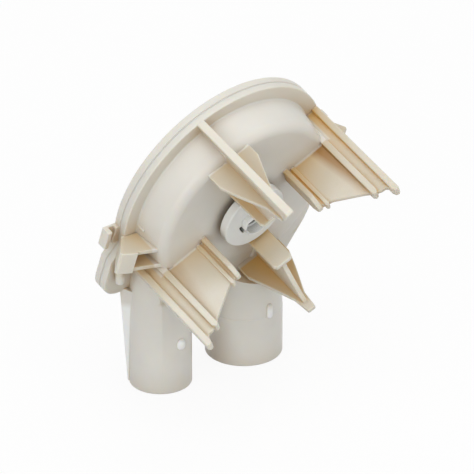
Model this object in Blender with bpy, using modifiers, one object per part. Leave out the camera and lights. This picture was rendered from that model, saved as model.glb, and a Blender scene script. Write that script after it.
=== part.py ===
"""Washing machine drain pump: moulded housing with four motor brackets, two ports and a rotor."""

import math

import bmesh
import bpy
from mathutils import Matrix, Vector

MM = 0.001

# Driving dimensions in millimetres. w runs along the pump axis from the cover's back face
# towards the motor, x is to the right seen from the motor, and u is up across both.
GAP = 0.3
RUNNING_GAP = 0.06
WALL = 2.5
PORT_LEAN = 20.45
FLANGE_R = 49.3
FLANGE_W = 6.5
SEAM_W = 3.3
COVER_FLOOR_W = 1.3
WALL_ROOT_R = 43.1
CORNER_X = -42.6
CORNER_U = -33.0
CORNER_R = 9.0
FACE_W = 20.93
FACE_FILLET = 4.4
FACE_OUTER_R = 41.6
LEDGE_U = -27.6
LEDGE_DEPTH = 1.2
HUB_R = 14.5
HUB_STANDOFF = 5.97
HUB_DISC = 3.9
STEM_R = 7.0
MOUTH_R = 6.4
MOUTH_DEPTH = 3.4
SOCKET_R = 4.7
SOCKET_FLAT = 2.8
SOCKET_FLAT_ANGLE = 139.0
SOCKET_DEPTH = 17.0
COLLAR_R = 6.9
COLLAR_RISE = 2.6
PORT_REACH = 75.12
PORT_WALL = 2.3
OUTLET_R = 12.7
OUTLET_X = -25.5
OUTLET_W = 26.6
INLET_R = 15.875
INLET_X = 17.1
INLET_W = 28.4
BRACKET_WEB = 2.0
GUIDE_RIB = 4.8
WING_RIB = 3.4
GUIDE_PLATE_R = 21.1
WING_PLATE_R = 17.0
WING_R = 37.0
CLIP_WALL = 2.0
CLIP_LEFT_REACH = 56.0
CLIP_LEFT_U = -13.5
CLIP_LEFT_SPAN = 11.0
CLIP_RIGHT_REACH = 51.0
CLIP_RIGHT_U = 14.9
CLIP_RIGHT_SPAN = 7.8
LUG_LEFT_REACH = 55.4
LUG_LEFT_U = -10.2
LUG_RIGHT_REACH = 52.4
LUG_RIGHT_U = 13.9
IMPELLER_R = 33.0
VANES = 6

LEAN = math.radians(PORT_LEAN)
HUB_W = FACE_W + HUB_STANDOFF
BEARING_OUT_R = STEM_R + 2.0
BEARING_BORE = BEARING_OUT_R + GAP
SEAL_OUT_R = BEARING_BORE + 3.3
SEAL_BORE = SEAL_OUT_R + GAP
BOSS_R = SEAL_BORE + 2.2
BOSS_END_W = 6.6
SEAL_SEAT_W = 11.4
CHAMBER_TOP_W = FACE_W - WALL
CHAMBER_R = WALL_ROOT_R - WALL - 0.3


def port_end(x, w):
    """The middle of a port's open end, which lies level with the other port's."""
    return Vector((x, ((w - HUB_W) * math.sin(LEAN) - PORT_REACH) / math.cos(LEAN), w))


def new_material(name, colour, roughness, metallic=0.0):
    """One plain Principled material."""
    material = bpy.data.materials.new(name)
    material.use_nodes = True
    shader = material.node_tree.nodes["Principled BSDF"]
    shader.inputs["Base Color"].default_value = (*colour, 1.0)
    shader.inputs["Roughness"].default_value = roughness
    shader.inputs["Metallic"].default_value = metallic
    return material


def add_object(name, mesh, collection, frame, matrix=None):
    """An object in the pump's own frame, hung on the frame empty."""
    obj = bpy.data.objects.new(name, mesh)
    collection.objects.link(obj)
    obj.parent = frame
    if matrix is not None:
        obj.matrix_local = matrix
    return obj


def as_cutter(obj):
    """Keep a helper solid out of the finished part."""
    obj.hide_render = True
    obj.display_type = "WIRE"
    return obj


def arc(cx, cy, radius, start, end, steps):
    """Points along a circular arc, in degrees, both ends included."""
    points = []
    for i in range(steps + 1):
        angle = math.radians(start + (end - start) * i / steps)
        points.append((cx + radius * math.cos(angle), cy + radius * math.sin(angle)))
    return points


def turned(name, profile, collection, frame, steps=96):
    """An (r, w) profile turned about the pump axis: closed, or open where both its ends are on the axis."""
    mesh = bpy.data.meshes.new(name)
    bm = bmesh.new()
    verts = [bm.verts.new((r * MM, 0.0, w * MM)) for r, w in profile]
    for first, second in zip(verts, verts[1:]):
        bm.edges.new((first, second))
    if profile[0][0] > 0.0:
        bm.edges.new((verts[-1], verts[0]))
    bm.to_mesh(mesh)
    bm.free()
    obj = add_object(name, mesh, collection, frame)
    screw = obj.modifiers.new("turn", "SCREW")
    screw.axis = "Z"
    screw.angle = 2.0 * math.pi
    screw.steps = steps
    screw.render_steps = steps
    screw.use_merge_vertices = True
    screw.merge_threshold = 0.00001
    return obj


def plate(name, outline, thickness, matrix, collection, frame):
    """A flat outline of the given thickness, centred on its own plane."""
    curve = bpy.data.curves.new(name, "CURVE")
    curve.dimensions = "2D"
    curve.fill_mode = "BOTH"
    curve.extrude = thickness * MM / 2.0
    spline = curve.splines.new("POLY")
    spline.points.add(len(outline) - 1)
    for point, (x, y) in zip(spline.points, outline):
        point.co = (x * MM, y * MM, 0.0, 1.0)
    spline.use_cyclic_u = True
    source = bpy.data.objects.new(name + "_outline", curve)
    bpy.context.scene.collection.objects.link(source)
    depsgraph = bpy.context.evaluated_depsgraph_get()
    mesh = bpy.data.meshes.new_from_object(source.evaluated_get(depsgraph))
    mesh.name = name
    bpy.data.objects.remove(source)
    bm = bmesh.new()
    bm.from_mesh(mesh)
    bmesh.ops.remove_doubles(bm, verts=bm.verts, dist=0.000001)
    bmesh.ops.recalc_face_normals(bm, faces=bm.faces)
    bm.to_mesh(mesh)
    bm.free()
    return add_object(name, mesh, collection, frame, matrix)


def slab(name, outline, low_w, high_w, collection, frame):
    """An (x, u) outline standing between two heights along the pump axis."""
    matrix = Matrix.Translation((0.0, 0.0, (low_w + high_w) * MM / 2.0))
    return plate(name, outline, high_w - low_w, matrix, collection, frame)


def radial_plate(name, outline, thickness, angle, collection, frame, shift=0.0):
    """An (r, w) outline in the radial plane at an angle, moved sideways by shift."""
    matrix = Matrix.Rotation(math.radians(angle), 4, "Z") @ Matrix.Translation((0.0, shift * MM, 0.0))
    matrix = matrix @ Matrix.Rotation(math.radians(90.0), 4, "X")
    return plate(name, outline, thickness, matrix, collection, frame)


def tangent_plate(name, outline, radius, thickness, angle, collection, frame):
    """A (sideways, w) outline in the plane that faces outwards at a radius."""
    matrix = Matrix.Rotation(math.radians(angle), 4, "Z") @ Matrix.Translation((radius * MM, 0.0, 0.0))
    matrix = matrix @ Matrix.Rotation(math.radians(90.0), 4, "Z") @ Matrix.Rotation(math.radians(90.0), 4, "X")
    return plate(name, outline, thickness, matrix, collection, frame)


def box(name, low, high, collection, frame):
    """A block between two corners in the pump frame."""
    mesh = bpy.data.meshes.new(name)
    bm = bmesh.new()
    bmesh.ops.create_cube(bm, size=1.0)
    size = [(b - a) * MM for a, b in zip(low, high)]
    middle = [(a + b) * MM / 2.0 for a, b in zip(low, high)]
    bmesh.ops.scale(bm, vec=size, verts=bm.verts)
    bmesh.ops.translate(bm, vec=middle, verts=bm.verts)
    bm.to_mesh(mesh)
    bm.free()
    return add_object(name, mesh, collection, frame)


def port_rod(name, end, radius, length, past_end, collection, frame, aside=(0.0, 0.0), segments=72):
    """A round rod up the port's own direction, starting past_end beyond the open end."""
    mesh = bpy.data.meshes.new(name)
    bm = bmesh.new()
    depth = (length + past_end) * MM
    size = radius * MM
    bmesh.ops.create_cone(bm, cap_ends=True, segments=segments, radius1=size, radius2=size, depth=depth)
    middle = Vector((aside[0] * MM, aside[1] * MM, depth / 2.0 - past_end * MM))
    bmesh.ops.translate(bm, vec=middle, verts=bm.verts)
    bm.to_mesh(mesh)
    bm.free()
    matrix = Matrix.Translation(end * MM) @ Matrix.Rotation(-math.pi / 2.0 - LEAN, 4, "X")
    return add_object(name, mesh, collection, frame, matrix)


def cross_plate(name, outline, low_u, high_u, collection, frame):
    """An (x, w) outline standing between two levels of u."""
    matrix = Matrix.Translation((0.0, (low_u + high_u) * MM / 2.0, 0.0)) @ Matrix.Rotation(math.radians(90.0), 4, "X")
    return plate(name, outline, high_u - low_u, matrix, collection, frame)


def web_between(name, corners, thickness, collection, frame):
    """A thin web through four corner points, thick along x."""
    mesh = bpy.data.meshes.new(name)
    bm = bmesh.new()
    sides = []
    for shift in (-thickness / 2.0, thickness / 2.0):
        sides.append([bm.verts.new(((x + shift) * MM, u * MM, w * MM)) for x, u, w in corners])
    bm.faces.new(sides[0])
    bm.faces.new(sides[1])
    for i in range(4):
        j = (i + 1) % 4
        bm.faces.new((sides[0][i], sides[0][j], sides[1][j], sides[1][i]))
    bmesh.ops.recalc_face_normals(bm, faces=bm.faces)
    bmesh.ops.triangulate(bm, faces=bm.faces)
    bm.to_mesh(mesh)
    bm.free()
    return add_object(name, mesh, collection, frame)


def rod_between(name, start, end, radius, end_radius, collection, frame, segments=20):
    """A round rod or cone from one point of the pump frame to another."""
    start = Vector(start)
    run = Vector(end) - start
    mesh = bpy.data.meshes.new(name)
    bm = bmesh.new()
    bmesh.ops.create_cone(
        bm, cap_ends=True, segments=segments, radius1=radius * MM, radius2=end_radius * MM, depth=run.length * MM)
    bmesh.ops.translate(bm, vec=(0.0, 0.0, run.length * MM / 2.0), verts=bm.verts)
    bm.to_mesh(mesh)
    bm.free()
    turn = run.to_track_quat("Z", "Y").to_matrix().to_4x4()
    return add_object(name, mesh, collection, frame, Matrix.Translation(start * MM) @ turn)


def boolean(obj, operand, operation):
    """A live exact Boolean with an object or a whole collection."""
    modifier = obj.modifiers.new(operation.lower(), "BOOLEAN")
    modifier.operation = operation
    modifier.solver = "EXACT"
    if isinstance(operand, bpy.types.Collection):
        modifier.operand_type = "COLLECTION"
        modifier.collection = operand
    else:
        modifier.object = operand
    return modifier


def round_edges(obj, width, segments=2):
    """A small live bevel along the square edges of a plate."""
    bevel = obj.modifiers.new("edges", "BEVEL")
    bevel.width = width * MM
    bevel.segments = segments
    bevel.limit_method = "ANGLE"
    bevel.angle_limit = math.radians(60.0)
    return bevel


def finish(obj, material, angle=40.0):
    """Give a piece its material and smooth its round faces."""
    obj.data.materials.append(material)
    for modifier in obj.modifiers:
        if modifier.type == "SCREW":
            modifier.use_smooth_shade = True
    if not obj.modifiers:
        obj.data.shade_smooth()
        obj.data.set_sharp_from_angle(angle=math.radians(angle))
    return obj


def flange_outline():
    """The rim seen along the axis: a circle with a squarer corner behind the outlet."""
    points = arc(0.0, 0.0, FLANGE_R, -121.0, 196.0, 84)
    points.append((CORNER_X - CORNER_R, CORNER_U + 11.0))
    points += arc(CORNER_X, CORNER_U, CORNER_R, 180.0, 270.0, 8)
    return points


def web_outline(kind):
    """The side view of a bracket web as (r, w) points."""
    if kind == "guide":
        return [
            (GUIDE_PLATE_R, FACE_W - 1.5), (GUIDE_PLATE_R, 42.0), (26.7, 43.4), (37.6, 50.2), (40.6, 52.6),
            (43.2, 53.8), (45.2, 54.0), (48.6, 57.6), (48.6, FLANGE_W - 1.2), (41.0, FLANGE_W - 1.2),
            (38.0, FACE_W - 1.5),
        ]
    if kind == "tall":
        return [
            (WING_PLATE_R, FACE_W - 1.5), (WING_PLATE_R, 41.4), (20.0, 42.4), (21.6, 43.6), (26.9, 46.2),
            (28.2, 48.4), (31.0, 49.8), (35.6, 53.8), (36.8, 56.4), (41.0, 58.4), (48.7, 61.4),
            (48.7, FLANGE_W - 1.2), (41.0, FLANGE_W - 1.2), (38.0, FACE_W - 1.5),
        ]
    return [
        (WING_PLATE_R, FACE_W - 1.5), (WING_PLATE_R, 41.4), (20.0, 41.8), (32.4, 48.6), (36.2, 51.8),
        (WING_R + 1.4, 55.6), (WING_R + 1.4, 16.6), (WING_R - 2.0, 15.0), (30.0, FACE_W - 1.5),
    ]


def add_guide_bracket(prefix, angle, collection, frame):
    """A radial web with narrow ribs that the motor's end frame slides between."""
    radial_plate(prefix + "_web", web_outline("guide"), BRACKET_WEB, angle, collection, frame)
    outer = [
        (46.3, FLANGE_W - 0.9), (46.3, 56.6), (47.0, 58.2), (48.3, 58.6), (49.15, 57.8), (49.15, FLANGE_W - 0.9),
    ]
    radial_plate(prefix + "_outer_rib", outer, GUIDE_RIB, angle, collection, frame)
    middle = [(39.5, 14.0), (39.5, 52.8), (40.4, 53.9), (41.6, 53.6), (42.3, 52.4), (42.3, 14.0)]
    radial_plate(prefix + "_middle_rib", middle, GUIDE_RIB, angle, collection, frame)
    nub = [(23.4, FACE_W - 1.3), (23.4, 43.4), (24.0, 44.1), (24.7, 44.0), (25.2, 43.2), (25.2, FACE_W - 1.3)]
    radial_plate(prefix + "_nub_rib", nub, GUIDE_RIB - 1.2, angle, collection, frame)
    inner = [
        (-4.2, FACE_W - 1.4), (-4.2, 38.4), (-2.0, 42.0), (-0.9, 42.9), (0.9, 42.9), (2.0, 42.0),
        (4.2, 38.4), (4.2, FACE_W - 1.4),
    ]
    tangent_plate(prefix + "_inner_plate", inner, GUIDE_PLATE_R, 2.2, angle, collection, frame)


def add_wing_bracket(prefix, angle, kind, collection, frame):
    """A radial web that carries a tapering wing at the rim of the face and a plate at the hub."""
    radial_plate(prefix + "_web", web_outline(kind), BRACKET_WEB, angle, collection, frame)
    wing = [
        (-10.1, 14.6), (-10.1, 26.6), (-7.6, 33.2), (-5.0, 40.4), (-2.6, 47.4), (-1.8, 55.4),
        (1.8, 55.4), (2.6, 47.4), (5.0, 41.6), (7.6, 35.2), (10.1, 28.0), (10.1, 14.6),
    ]
    tangent_plate(prefix + "_wing", wing, WING_R, 2.2, angle, collection, frame)
    inner = [(-4.8, FACE_W - 1.4), (-4.6, 40.6), (-3.6, 42.0), (3.4, 42.0), (4.4, 40.6), (4.8, FACE_W - 1.4)]
    tangent_plate(prefix + "_inner_plate", inner, WING_PLATE_R, 2.2, angle, collection, frame)
    if kind == "tall":
        outer = [
            (46.3, FLANGE_W - 0.9), (46.3, 60.4), (47.2, 61.8), (48.6, 61.9), (49.2, 61.0), (49.2, SEAM_W + 0.6),
        ]
        radial_plate(prefix + "_outer_rib", outer, WING_RIB, angle, collection, frame)


def add_clip_box(prefix, side, reach, middle_u, span, collection, frame):
    """An open box on the wall that a spring clip passes behind: a bent front wall between two end plates."""
    bent = [
        (reach - 8.4, 6.0), (reach - 6.4, 5.9), (reach, 13.4), (reach - 0.5, 14.6), (reach - 7.0, 16.9),
        (reach - 7.0, 14.9), (reach - 2.4, 13.2),
    ]
    low = middle_u - span / 2.0
    high = middle_u + span / 2.0
    cross_plate(prefix + "_front", [(side * x, w) for x, w in bent], low, high, collection, frame)
    for place, start in (("low", low + 0.1), ("high", high - 0.1 - CLIP_WALL)):
        far = max(abs(start), abs(start + CLIP_WALL))
        root = math.sqrt((WALL_ROOT_R - 3.6) ** 2 - far ** 2)
        end_plate = [
            (root, 7.2), (reach - 7.2, 6.3), (reach - 0.55, 13.7), (reach - 0.95, 14.2),
            (root, 14.2 + 0.25 * (reach - root)),
        ]
        cross_plate(
            prefix + "_" + place, [(side * x, w) for x, w in end_plate], start, start + CLIP_WALL, collection, frame)


def add_clip_lug(name, side, reach, leaf, slot, middle_u, span, collection, frame):
    """A small channel on the edge of the cover whose outer leaf hooks the end of a spring clip."""
    top = SEAM_W - GAP / 2
    section = [
        (45.0, 0.2), (reach, 0.2), (reach, top + 1.4), (reach - leaf, top + 1.4), (reach - leaf, 1.3),
        (reach - leaf - slot, 1.3), (reach - leaf - slot, top - 0.2), (45.0, top - 0.2),
    ]
    section = [(side * x, w) for x, w in section]
    return cross_plate(name, section, middle_u - span / 2.0, middle_u + span / 2.0, collection, frame)


def build_housing(parts, adds, cuts, guides, frame, material):
    """The front moulding: bowl, half rim, both ports, brackets and clip boxes in one piece."""
    outlet_end = port_end(OUTLET_X, OUTLET_W)
    inlet_end = port_end(INLET_X, INLET_W)
    rim_low = SEAM_W + GAP / 2
    bowl = [(0.0, FACE_W)]
    bowl += [(FACE_OUTER_R - FACE_FILLET + x, FACE_W - FACE_FILLET + w)
             for x, w in arc(0.0, 0.0, FACE_FILLET, 90.0, 12.0, 6)]
    bowl += [(WALL_ROOT_R, FLANGE_W), (WALL_ROOT_R, rim_low + 1.0), (0.0, rim_low + 1.0)]
    housing = turned("pump_housing", bowl, parts, frame, 90)

    rim = slab("rim_plate", flange_outline(), rim_low, FLANGE_W, adds, frame)
    round_edges(rim, 0.4)
    flare = [(38.2, -12.0), (40.1, -15.0), (38.9, -22.0), (33.2, -39.6), (29.0, -44.0), (12.0, -45.0), (14.0, -24.0)]
    slab("inlet_flare", flare, rim_low + 1.4, FACE_W - 0.5, adds, frame)

    outlet = port_rod("outlet_tube", outlet_end, OUTLET_R, 66.0, 0.0, adds, frame)
    inlet = port_rod("inlet_tube", inlet_end, INLET_R, 55.0, 0.0, adds, frame)
    shelf_u = -FLANGE_R - 2.0
    above_face = as_cutter(box("keep_face_flat", (-70, -39.6, FACE_W - LEDGE_DEPTH - 0.1), (70, 10, 60), guides, frame))
    behind_seam = as_cutter(box("keep_seam_flat", (-70, shelf_u, -40), (70, 10, rim_low + 0.1), guides, frame))
    for tube in (outlet, inlet):
        boolean(tube, above_face, "DIFFERENCE")
        boolean(tube, behind_seam, "DIFFERENCE")
        as_cutter(tube)

    fin = [(-40.4, -40.6, 4.6), (-36.0, -82.6, 19.0), (-33.2, -80.4, 24.0), (-36.8, -40.6, 10.0)]
    web_between("outlet_fin", fin, 2.2, adds, frame)
    add_guide_bracket("bracket_right", 31.5, adds, frame)
    add_guide_bracket("bracket_left", 212.0, adds, frame)
    add_wing_bracket("bracket_top", 119.5, "tall", adds, frame)
    add_wing_bracket("bracket_bottom", 297.5, "short", adds, frame)
    add_clip_box("clip_box_left", -1.0, CLIP_LEFT_REACH, CLIP_LEFT_U, CLIP_LEFT_SPAN, adds, frame)
    add_clip_box("clip_box_right", 1.0, CLIP_RIGHT_REACH, CLIP_RIGHT_U, CLIP_RIGHT_SPAN, adds, frame)
    rod_between("clip_peg", (-49.2, -24.2, FLANGE_W + 2.1), (-47.4, -31.4, FLANGE_W + 2.5), 2.6, 2.6, adds, frame)
    rod_between("clip_peg_tip", (-47.5, -31.0, FLANGE_W + 2.5), (-47.0, -33.0, FLANGE_W + 2.6), 2.5, 1.5, adds, frame)
    wall_rib = [(-43.4, -5.2), (-41.0, -5.2), (-41.0, -3.4), (-43.4, -3.4)]
    slab("wall_rib", wall_rib, FLANGE_W - 1.0, 15.6, adds, frame)
    for name, end, radius, nub_r, low, high in (
            ("outlet", outlet_end, OUTLET_R, 1.9, 19.5, 23.4), ("inlet", inlet_end, INLET_R, 1.3, 20.2, 26.8)):
        port_rod(name + "_nub", end, nub_r, high, -low, adds, frame, (0.0, 0.4 - radius), 20)
    for obj in adds.objects:
        as_cutter(obj)

    ledge = [(-60.0, LEDGE_U), (60.0, LEDGE_U), (60.0, -39.4), (-60.0, -39.4)]
    face_ledge = as_cutter(slab("face_ledge", ledge, FACE_W - LEDGE_DEPTH, FACE_W + 1.0, guides, frame))
    chamber = [(0.0, BOSS_END_W), (BOSS_R, BOSS_END_W), (BOSS_R, CHAMBER_TOP_W), (CHAMBER_R - 4.2, CHAMBER_TOP_W)]
    chamber += [(CHAMBER_R - 1.7, CHAMBER_TOP_W - 2.6), (CHAMBER_R, rim_low - 1.0), (0.0, rim_low - 1.0)]
    as_cutter(turned("chamber", chamber, cuts, frame, 90))
    shaft = [(0.0, FACE_W + 1.0), (BEARING_BORE, FACE_W + 1.0), (BEARING_BORE, SEAL_SEAT_W), (SEAL_BORE, SEAL_SEAT_W)]
    shaft += [(SEAL_BORE, BOSS_END_W - 1.0), (0.0, BOSS_END_W - 1.0)]
    as_cutter(turned("shaft_bore", shaft, cuts, frame, 72))
    inner_flare = [(34.0, -14.0), (36.8, -18.0), (30.8, -38.0), (27.0, -41.2), (14.0, -42.0), (14.0, -26.0)]
    as_cutter(slab("flare_hollow", inner_flare, rim_low - 1.0, CHAMBER_TOP_W - 0.4, cuts, frame))
    bore_roof = as_cutter(box("bore_roof", (-70, -42.4, CHAMBER_TOP_W - 0.2), (70, 10, 60), guides, frame))
    bore_back = as_cutter(box("bore_back", (-70, shelf_u - 2.2, -40), (70, 10, rim_low + WALL), guides, frame))
    for name, end, radius, length in (("outlet_bore", outlet_end, OUTLET_R - PORT_WALL, 57.0),
                                      ("inlet_bore", inlet_end, INLET_R - PORT_WALL, 52.0)):
        bore = port_rod(name, end, radius, length, 5.0, cuts, frame)
        boolean(bore, bore_roof, "DIFFERENCE")
        boolean(bore, bore_back, "DIFFERENCE")
        as_cutter(bore)

    boolean(housing, face_ledge, "DIFFERENCE")
    boolean(housing, adds, "UNION")
    boolean(housing, cuts, "DIFFERENCE")
    finish(housing, material)
    return housing


def build_cover(parts, cuts, frame, material):
    """The rear cover: the other half of the rim, with a shallow dish behind it and two clip lugs."""
    top = SEAM_W - GAP / 2
    cover = slab("rear_cover", flange_outline(), 0.0, top, parts, frame)
    round_edges(cover, 0.4)
    dish = [(0.0, 0.6), (41.0, 0.6), (41.0, -0.3), (39.4, -1.5), (30.4, -1.5), (29.2, -0.6), (0.0, -0.6)]
    boolean(cover, as_cutter(turned("cover_dish", dish, cuts, frame, 72)), "UNION")
    left = add_clip_lug("lug_left", -1.0, LUG_LEFT_REACH, 2.2, 2.8, LUG_LEFT_U, 8.6, cuts, frame)
    boolean(cover, as_cutter(left), "UNION")
    right = add_clip_lug("lug_right", 1.0, LUG_RIGHT_REACH, 1.6, 2.2, LUG_RIGHT_U, 4.6, cuts, frame)
    boolean(cover, as_cutter(right), "UNION")
    recess = [(0.0, top + 1.0), (CHAMBER_R, top + 1.0), (CHAMBER_R, COVER_FLOOR_W), (0.0, COVER_FLOOR_W)]
    boolean(cover, as_cutter(turned("cover_floor", recess, cuts, frame, 90)), "DIFFERENCE")
    finish(cover, material)
    return cover


def d_outline(radius, steps):
    """A circle with the shaft's flat cut off it."""
    half = math.degrees(math.acos(SOCKET_FLAT / radius))
    return arc(0.0, 0.0, radius, SOCKET_FLAT_ANGLE + half, SOCKET_FLAT_ANGLE + 360.0 - half, steps)


def build_hub(parts, cuts, frame, material):
    """The drive hub: a disc in front of the bowl on a hollow stem, with a D socket and a part collar."""
    shoulder = STEM_R + 2.4
    profile = [
        (0.0, HUB_W), (HUB_R - 0.6, HUB_W), (HUB_R, HUB_W - 0.6), (HUB_R, HUB_W - HUB_DISC),
        (shoulder, HUB_W - HUB_DISC), (shoulder, FACE_W + 1.0), (STEM_R, FACE_W + 1.0),
        (STEM_R, 2.4), (STEM_R - 0.8, 1.9), (0.0, 1.9),
    ]
    hub = turned("drive_hub", profile, parts, frame, 60)
    floor_w = HUB_W - MOUTH_DEPTH
    mouth = as_cutter(slab("hub_mouth", d_outline(MOUTH_R, 36), floor_w, HUB_W + 6.0, cuts, frame))
    collar_outline = arc(0.0, 0.0, COLLAR_R, 252.0, 380.0, 24) + arc(0.0, 0.0, SOCKET_R - 0.6, 380.0, 252.0, 16)
    collar = as_cutter(slab("hub_collar", collar_outline, floor_w - 0.6, HUB_W + COLLAR_RISE, cuts, frame))
    socket = as_cutter(slab("hub_socket", d_outline(SOCKET_R, 36), HUB_W - SOCKET_DEPTH, HUB_W + 6.0, cuts, frame))
    boolean(hub, mouth, "DIFFERENCE")
    boolean(hub, collar, "UNION")
    boolean(hub, socket, "DIFFERENCE")
    finish(hub, material)
    return hub


def build_impeller(parts, adds, cuts, frame, material):
    """The impeller: a back disc and curved vanes on a hub pressed on the stem."""
    disc_low = 1.9
    hub_r = 10.6
    bore_r = STEM_R + GAP
    profile = [
        (bore_r, 5.8), (hub_r, 5.8), (hub_r, 3.9), (IMPELLER_R, 3.9), (IMPELLER_R, disc_low), (bore_r, disc_low),
    ]
    impeller = turned("impeller", profile, parts, frame, 60)
    inner_r = BOSS_R + 2.4
    steps = 10
    for i in range(VANES):
        points = []
        for side in (0.9, -0.9):
            row = []
            for k in range(steps + 1):
                t = k / steps
                radius = inner_r + (IMPELLER_R - 0.3 - inner_r) * t
                angle = math.radians(360.0 * i / VANES - 38.0 * t)
                along = Vector((math.cos(angle), math.sin(angle)))
                across = Vector((-along.y, along.x))
                row.append(tuple(along * radius + across * side))
            points += row if side > 0 else row[::-1]
        as_cutter(slab("vane_%d" % i, points, disc_low + 1.0, 14.6, adds, frame))
    boolean(impeller, adds, "UNION")
    finish(impeller, material)
    return impeller


def build_shaft_parts(parts, frame, bronze, steel, rubber, washer):
    """The plain bearing, the shaft seal and the two thrust washers round the stem."""
    bearing_in = STEM_R + RUNNING_GAP
    front = FACE_W - 0.2
    back = SEAL_SEAT_W + 0.2
    bearing = [(bearing_in, front), (BEARING_OUT_R, front), (BEARING_OUT_R, back), (bearing_in, back)]
    finish(turned("sleeve_bearing", bearing, parts, frame, 48), bronze)

    case_low = BOSS_END_W + 0.5
    case_top = SEAL_SEAT_W - GAP
    case = [
        (SEAL_OUT_R - 2.0, case_top), (SEAL_OUT_R, case_top), (SEAL_OUT_R, case_low), (SEAL_OUT_R - 0.7, case_low),
        (SEAL_OUT_R - 0.7, case_top - 0.7), (SEAL_OUT_R - 2.0, case_top - 0.7),
    ]
    finish(turned("seal_case", case, parts, frame, 48), steel)
    lip_out = SEAL_OUT_R - 0.7 - GAP
    lip = [
        (bearing_in, SEAL_SEAT_W - 1.6), (lip_out, SEAL_SEAT_W - 1.6), (lip_out, SEAL_SEAT_W - 2.6),
        (bearing_in + 2.2, SEAL_SEAT_W - 2.9), (bearing_in + 1.2, case_low + 0.4), (bearing_in, case_low + 0.2),
    ]
    finish(turned("seal_lip", lip, parts, frame, 48), rubber)
    spring_r = bearing_in + 2.9
    garter = [(spring_r + x, case_low + 0.75 + w) for x, w in arc(0.0, 0.0, 0.5, 90.0, -225.0, 7)]
    finish(turned("garter_spring", garter, parts, frame, 48), steel)

    washer_in = STEM_R + 0.35
    for name, outer, high, low in (("front_thrust_washer", STEM_R + 2.6, FACE_W + 0.7, FACE_W + 0.2),
                                   ("rear_thrust_washer", 11.0, BOSS_END_W + 0.1, BOSS_END_W - 0.5)):
        ring = [(washer_in, high), (outer, high), (outer, low), (washer_in, low)]
        finish(turned(name, ring, parts, frame, 48), washer)


def main():
    for obj in list(bpy.data.objects):
        bpy.data.objects.remove(obj, do_unlink=True)

    collections = {}
    for name in ("drain_pump", "housing_adds", "housing_cuts", "vanes", "cutters"):
        collections[name] = bpy.data.collections.new(name)
        bpy.context.scene.collection.children.link(collections[name])
    parts = collections["drain_pump"]
    cutters = collections["cutters"]

    frame = bpy.data.objects.new("pump_axis", None)
    parts.objects.link(frame)
    frame.rotation_euler = (math.pi / 2.0 + LEAN, 0.0, 0.0)
    frame.location = (0.0, HUB_W * MM * math.cos(LEAN), HUB_W * MM * math.sin(LEAN))
    bpy.context.view_layer.update()

    ivory = new_material("ivory_polypropylene", (0.74, 0.69, 0.60), 0.42)
    cover_ivory = new_material("ivory_cover", (0.74, 0.70, 0.61), 0.42)
    grey = new_material("grey_acetal", (0.60, 0.61, 0.59), 0.38)
    white = new_material("white_impeller", (0.78, 0.77, 0.73), 0.4)
    bronze = new_material("sintered_bronze", (0.50, 0.33, 0.17), 0.45, 1.0)
    steel = new_material("bright_steel", (0.62, 0.62, 0.63), 0.3, 1.0)
    rubber = new_material("black_rubber", (0.02, 0.02, 0.02), 0.7)
    washer = new_material("white_washer", (0.82, 0.82, 0.80), 0.4)

    build_housing(parts, collections["housing_adds"], collections["housing_cuts"], cutters, frame, ivory)
    build_cover(parts, cutters, frame, cover_ivory)
    build_hub(parts, cutters, frame, grey)
    build_impeller(parts, collections["vanes"], cutters, frame, white)
    build_shaft_parts(parts, frame, bronze, steel, rubber, washer)


main()
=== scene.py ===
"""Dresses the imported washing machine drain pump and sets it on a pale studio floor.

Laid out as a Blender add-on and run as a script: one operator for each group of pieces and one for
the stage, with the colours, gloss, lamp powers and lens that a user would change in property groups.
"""

import math

import bmesh
import bpy
import numpy as np
from bpy.props import FloatProperty, FloatVectorProperty, PointerProperty
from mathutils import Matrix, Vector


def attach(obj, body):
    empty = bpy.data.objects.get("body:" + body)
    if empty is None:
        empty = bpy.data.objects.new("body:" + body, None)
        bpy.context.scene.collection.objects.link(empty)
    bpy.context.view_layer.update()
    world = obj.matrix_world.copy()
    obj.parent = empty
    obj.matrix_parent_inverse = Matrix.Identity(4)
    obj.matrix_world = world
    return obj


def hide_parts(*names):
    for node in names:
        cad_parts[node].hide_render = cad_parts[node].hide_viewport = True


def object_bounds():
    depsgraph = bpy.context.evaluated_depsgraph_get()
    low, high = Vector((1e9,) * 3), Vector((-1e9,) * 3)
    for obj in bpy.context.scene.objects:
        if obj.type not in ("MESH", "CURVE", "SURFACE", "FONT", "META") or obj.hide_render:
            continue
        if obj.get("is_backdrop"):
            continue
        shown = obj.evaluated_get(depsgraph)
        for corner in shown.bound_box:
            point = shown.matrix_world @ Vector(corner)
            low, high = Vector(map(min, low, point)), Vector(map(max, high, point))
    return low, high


bl_info = {
    "name": "Drain Pump Dressing",
    "version": (1, 0, 0),
    "blender": (4, 5, 0),
    "location": "3D View > Sidebar > Drain Pump",
    "description": "Moulded plastic, metal and rubber finishes for a washing machine drain pump, with its stage",
    "category": "Object",
}

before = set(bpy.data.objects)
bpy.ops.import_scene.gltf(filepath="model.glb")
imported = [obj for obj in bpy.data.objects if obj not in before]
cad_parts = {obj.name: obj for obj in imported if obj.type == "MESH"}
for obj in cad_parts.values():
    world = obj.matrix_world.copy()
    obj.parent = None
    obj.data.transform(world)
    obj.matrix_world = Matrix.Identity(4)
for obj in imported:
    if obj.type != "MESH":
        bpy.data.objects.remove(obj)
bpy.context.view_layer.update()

LEAN = math.radians(20.45)
SIN, COS = math.sin(LEAN), math.cos(LEAN)
MM = 0.001

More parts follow.
